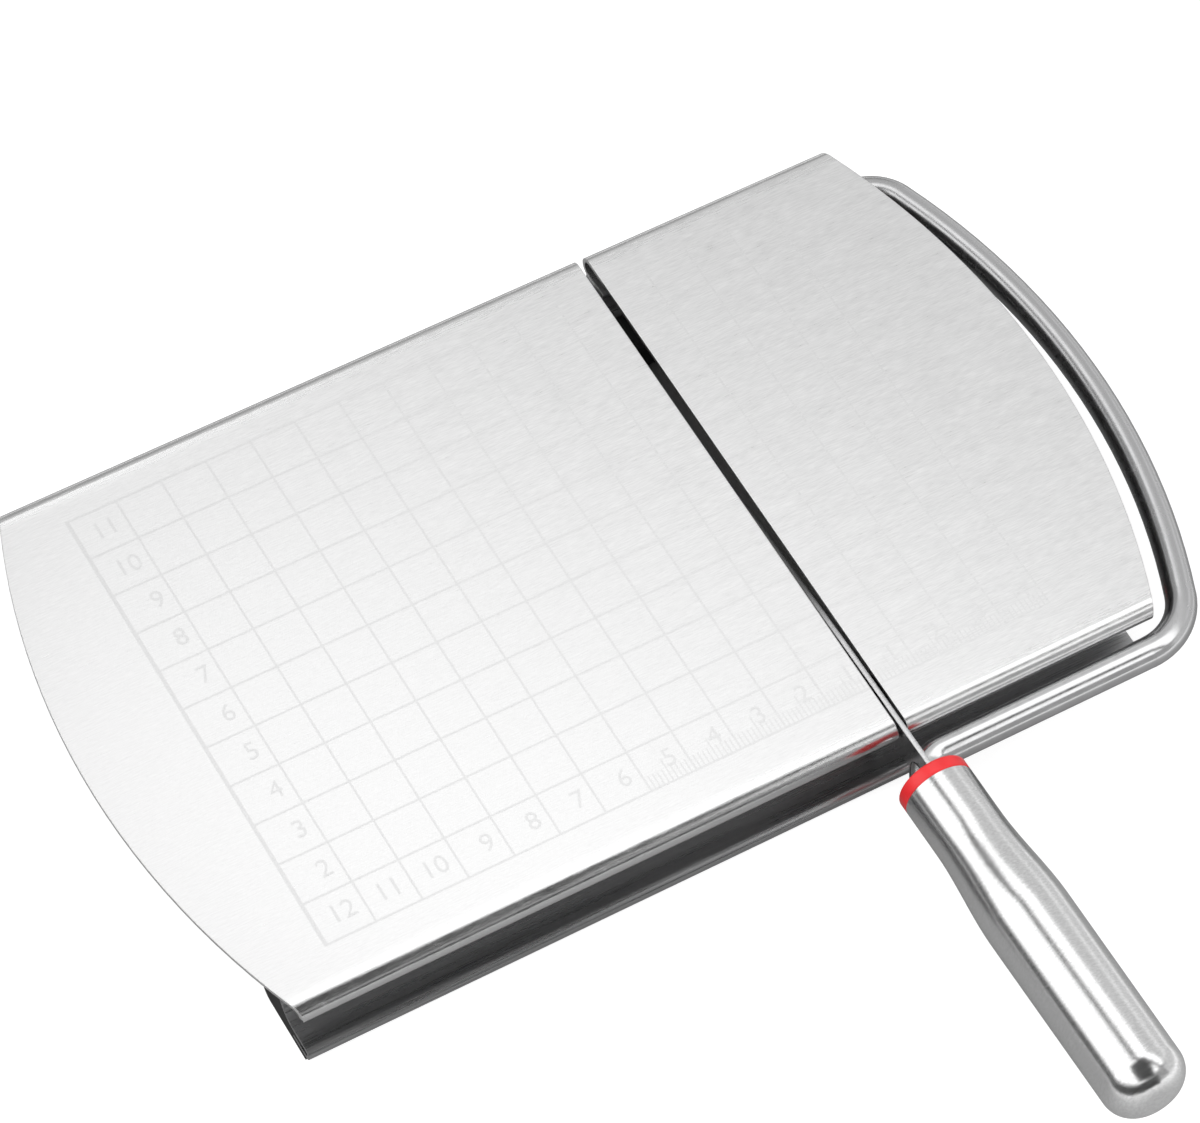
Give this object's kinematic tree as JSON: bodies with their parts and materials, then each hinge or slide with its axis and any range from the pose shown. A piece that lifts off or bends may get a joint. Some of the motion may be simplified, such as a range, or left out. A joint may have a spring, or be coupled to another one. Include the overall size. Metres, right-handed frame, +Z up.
{
  "type": "cheese slicer",
  "caption": "Hemmed sheet steel cutting board on two rubber-footed rails, with a hinged bow arm that swings a serrated blade down through a slot in the board.",
  "frame": {"origin": "middle of the board's top face, half way between its corners and its rolled edges", "axes": "+X along the board towards the rod's bow, +Y across it towards the hinge, +Z up"},
  "size_m": [0.2267, 0.2227, 0.0278],
  "materials": {
    "deck_steel": "brushed along the board's length",
    "rail_steel": "bright drawn sheet",
    "foot_rubber": "matt black",
    "plug_plastic": "red, gloss",
    "bush_plastic": "black, matt",
    "rod_steel": "polished",
    "ring_steel": "plain spring steel",
    "blade_steel": "fine ground",
    "collar_plastic": "red, gloss",
    "handle_steel": "satin, brushed round the tube"
  },
  "bodies": {
    "base": {"deck_left": "deck_steel", "deck_right": "deck_steel", "front_rail": "rail_steel", "rear_rail": "rail_steel", "front_foot": "foot_rubber", "rear_foot": "foot_rubber", "foot_plug_front_left": "plug_plastic", "foot_plug_front_right": "plug_plastic", "foot_plug_rear_left": "plug_plastic", "foot_plug_rear_right": "plug_plastic", "bush_left": "bush_plastic", "bush_middle": "bush_plastic", "bush_right": "bush_plastic"},
    "arm": {"arm_rod": "rod_steel", "retaining_rings": "ring_steel", "blade": "blade_steel", "blade_pin": "ring_steel", "collar_plug": "collar_plastic", "handle_tube": "handle_steel"}
  },
  "joints": [
    {"name": "arm_hinge", "type": "hinge", "parent": "base", "child": "arm", "pos_m": [0, 0.0586, -0.0113], "axis": [-1, 0, 0], "range_deg": [0, 85]}
  ]
}
